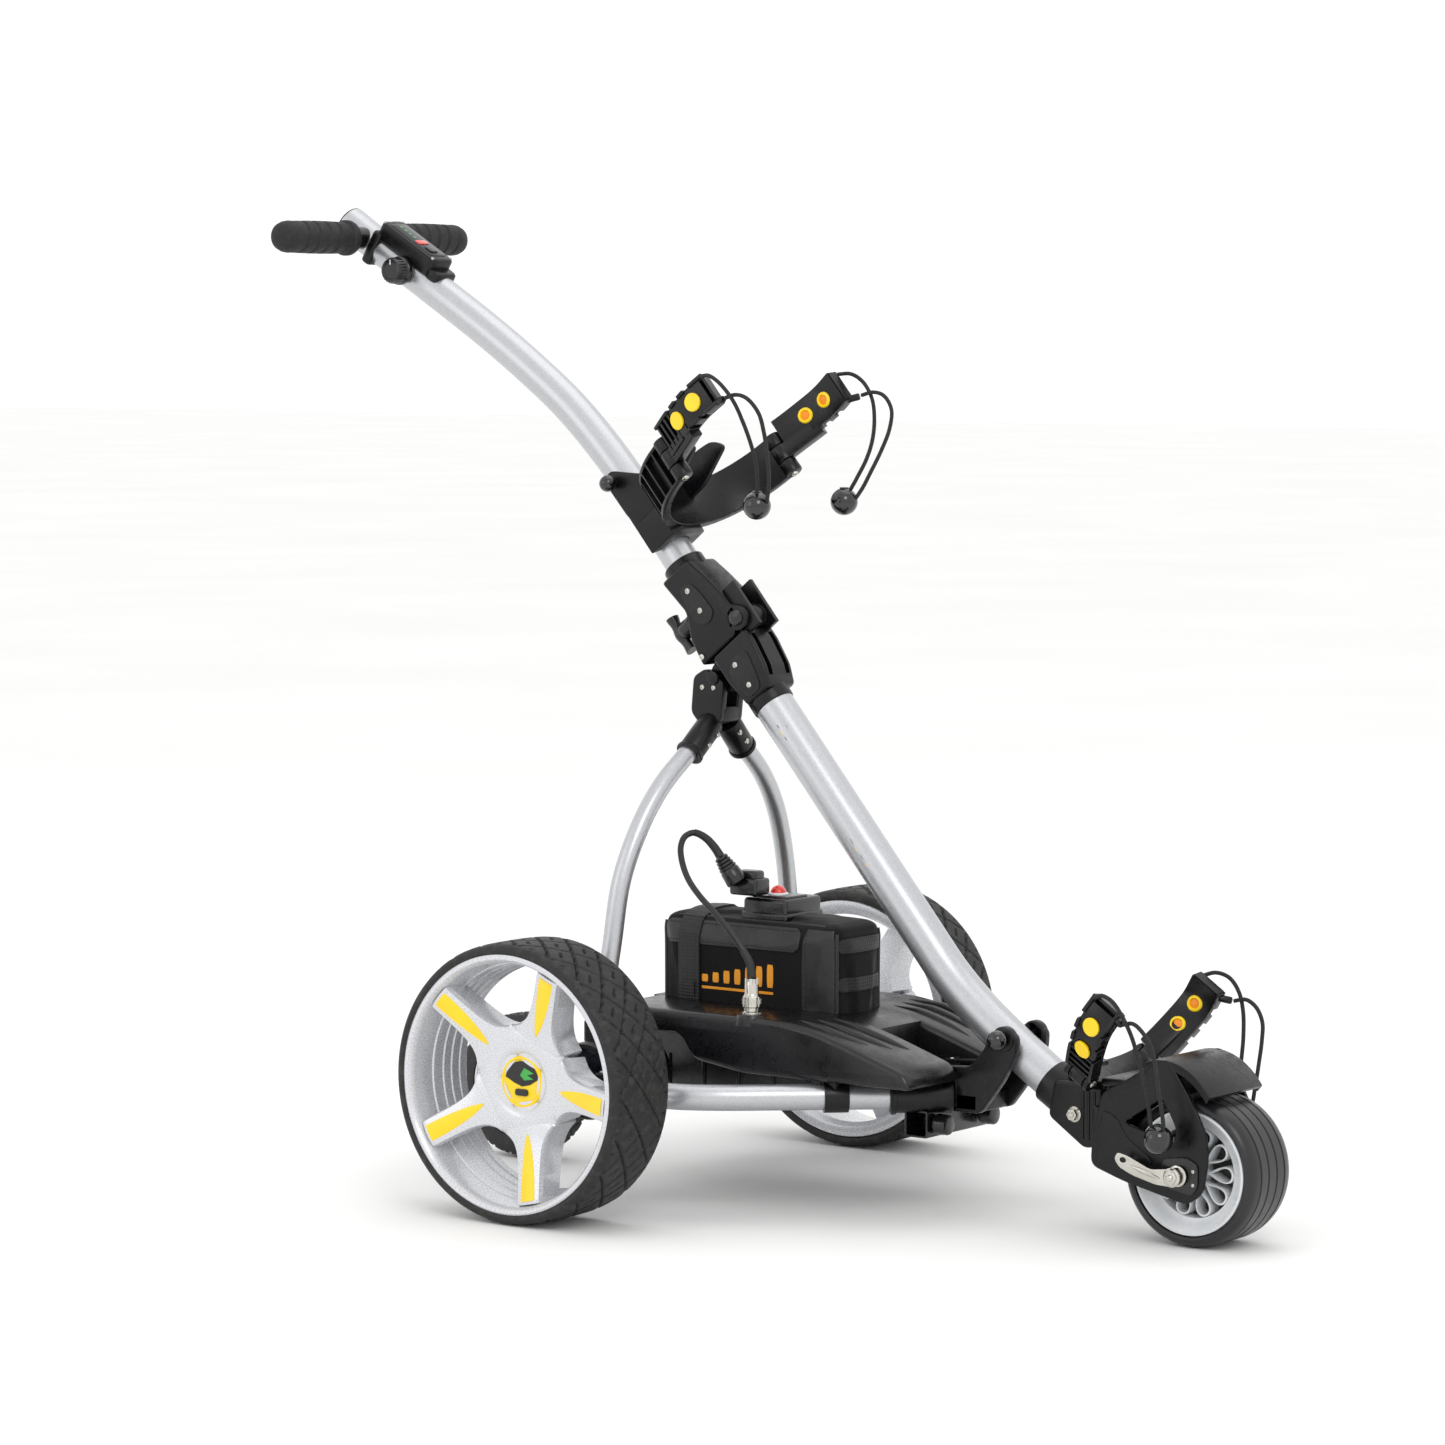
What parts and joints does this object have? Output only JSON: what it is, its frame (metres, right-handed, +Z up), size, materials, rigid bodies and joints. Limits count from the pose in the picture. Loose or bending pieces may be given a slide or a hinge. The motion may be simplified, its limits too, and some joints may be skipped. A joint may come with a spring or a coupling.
{
  "type": "electric golf trolley",
  "caption": "Electric golf trolley with a folding T-handle, bag cradles with swinging arms, driven rear wheels, a front wheel and a battery on a tray.",
  "frame": {"origin": "on the ground under the middle of the bounding box", "axes": "+Z up, +Y backwards to the handle, +X to the left-hand side of a person who faces forward (-Y)"},
  "size_m": [0.615, 1.0626, 0.9224],
  "materials": {
    "tube_silver": "satin silver lacquer on aluminium tube",
    "bright_steel": "bright plated steel",
    "black_casting": "satin black glass-filled nylon",
    "grip_rubber": "soft black rubber with a spiral groove",
    "tyre_rubber": "dusty black rubber with a shallow tread",
    "rim_silver": "silver-painted nylon",
    "rim_white": "off-white moulded nylon",
    "arm_grey": "grey-black moulded nylon",
    "ball_gloss": "gloss black phenolic",
    "cord_black": "black elastic cord and sheathed lead",
    "battery_case": "black neoprene case with stitched trim"
  },
  "bodies": {
    "frame": {"lower_tube": "tube_silver", "wishbone_tube_right": "tube_silver", "wishbone_tube_left": "tube_silver", "chassis_tube_right": "tube_silver", "chassis_tube_left": "tube_silver", "motor_housing_right": "tube_silver", "motor_housing_left": "tube_silver", "anti_tip_arm": "tube_silver", "hinge_pin": "bright_steel", "motor_right": "bright_steel", "motor_left": "bright_steel", "front_axle": "bright_steel", "lead_connector": "bright_steel", "hinge_lower_shell": "black_casting", "y_connector": "black_casting", "lower_cradle": "black_casting", "chassis_bracket": "black_casting", "accessory_receiver": "black_casting", "front_clamp": "black_casting", "front_fork": "black_casting", "battery_tray": "black_casting", "lead_plug": "black_casting", "battery_lead": "cord_black", "battery_pack": "battery_case"},
    "handle": {"upper_tube": "tube_silver", "hinge_upper_shell": "black_casting", "upper_cradle": "black_casting", "handle_bar": "black_casting", "handle_grip_right": "grip_rubber", "handle_grip_left": "grip_rubber", "control_console": "black_casting"},
    "hinge_clamp_knob": {"hinge_knob": "black_casting"},
    "speed_dial": {"speed_knob": "black_casting"},
    "cradle_clamp_knob": {"upper_clamp_knob": "ball_gloss"},
    "pivot_knob": {"bracket_pivot_bolt": "ball_gloss"},
    "receiver_screw_right": {"receiver_knob_right": "black_casting"},
    "receiver_screw_left": {"receiver_knob_left": "black_casting"},
    "wheel_lever": {"quick_release_lever": "bright_steel"},
    "front_wheel": {"front_tyre": "tyre_rubber", "front_rim": "rim_white"},
    "anti_tip_wheel": {"anti_tip_tyre": "tyre_rubber", "anti_tip_rim": "rim_silver"},
    "rear_wheel_right": {"rear_tyre_right": "tyre_rubber", "rear_rim_right": "rim_silver", "rear_axle_right": "bright_steel"},
    "upper_bag_arm_right": {"upper_arm_right": "arm_grey", "upper_bungee_right": "cord_black", "upper_ball_right": "ball_gloss"},
    "lower_bag_arm_right": {"lower_arm_right": "arm_grey", "lower_bungee_right": "cord_black", "lower_ball_right": "ball_gloss"},
    "rear_wheel_left": {"rear_tyre_left": "tyre_rubber", "rear_rim_left": "rim_silver", "rear_axle_left": "bright_steel"},
    "upper_bag_arm_left": {"upper_arm_left": "arm_grey", "upper_bungee_left": "cord_black", "upper_ball_left": "ball_gloss"},
    "lower_bag_arm_left": {"lower_arm_left": "arm_grey", "lower_bungee_left": "cord_black", "lower_ball_left": "ball_gloss"}
  },
  "joints": [
    {"name": "handle_fold", "type": "hinge", "parent": "frame", "child": "handle", "pos_m": [0, 0.03549, 0.53698], "axis": [1, 0, 0], "range_deg": [0, 145]},
    {"name": "hinge_knob_turn", "type": "hinge", "parent": "handle", "child": "hinge_clamp_knob", "pos_m": [0, 0.10404, 0.52574], "axis": [0, -0.7709, 0.6369], "continuous": true},
    {"name": "speed_dial_turn", "type": "hinge", "parent": "handle", "child": "speed_dial", "pos_m": [-0.03, 0.4423, 0.861], "axis": [1, 0, 0], "range_deg": [0, 270]},
    {"name": "cradle_knob_turn", "type": "hinge", "parent": "handle", "child": "cradle_clamp_knob", "pos_m": [-0.03, 0.17724, 0.65936], "axis": [1, 0, 0], "continuous": true},
    {"name": "pivot_knob_turn", "type": "hinge", "parent": "frame", "child": "pivot_knob", "pos_m": [0, -0.2677, 0.168], "axis": [1, 0, 0], "continuous": true},
    {"name": "receiver_screw_right_turn", "type": "hinge", "parent": "frame", "child": "receiver_screw_right", "pos_m": [-0.038, -0.2057, 0.086], "axis": [0, 1, 0], "continuous": true},
    {"name": "receiver_screw_left_turn", "type": "hinge", "parent": "frame", "child": "receiver_screw_left", "pos_m": [0.038, -0.2057, 0.086], "axis": [0, 1, 0], "continuous": true},
    {"name": "wheel_lever_turn", "type": "hinge", "parent": "frame", "child": "wheel_lever", "pos_m": [-0.058, -0.4647, 0.067], "axis": [1, 0, 0], "range_deg": [-160, 0]},
    {"name": "front_wheel_spin", "type": "hinge", "parent": "frame", "child": "front_wheel", "pos_m": [0, -0.4647, 0.067], "axis": [1, 0, 0], "continuous": true},
    {"name": "anti_tip_wheel_spin", "type": "hinge", "parent": "frame", "child": "anti_tip_wheel", "pos_m": [0, 0.3043, 0.072], "axis": [1, 0, 0], "continuous": true},
    {"name": "rear_wheel_right_spin", "type": "hinge", "parent": "frame", "child": "rear_wheel_right", "pos_m": [-0.2675, 0.0843, 0.128], "axis": [1, 0, 0], "continuous": true},
    {"name": "upper_arm_right_fold", "type": "hinge", "parent": "handle", "child": "upper_bag_arm_right", "pos_m": [-0.087, 0.06035, 0.68588], "axis": [0, 0.6369, 0.7709], "range_deg": [0, 50]},
    {"name": "lower_arm_right_fold", "type": "hinge", "parent": "frame", "child": "lower_bag_arm_right", "pos_m": [-0.055, -0.36765, 0.14846], "axis": [0, 0.8291, 0.5591], "range_deg": [0, 30]},
    {"name": "rear_wheel_left_spin", "type": "hinge", "parent": "frame", "child": "rear_wheel_left", "pos_m": [0.2675, 0.0843, 0.128], "axis": [1, 0, 0], "continuous": true},
    {"name": "upper_arm_left_fold", "type": "hinge", "parent": "handle", "child": "upper_bag_arm_left", "pos_m": [0.087, 0.06035, 0.68588], "axis": [0, -0.6369, -0.7709], "range_deg": [0, 50]},
    {"name": "lower_arm_left_fold", "type": "hinge", "parent": "frame", "child": "lower_bag_arm_left", "pos_m": [0.055, -0.36765, 0.14846], "axis": [0, -0.8291, -0.5591], "range_deg": [0, 30]}
  ]
}
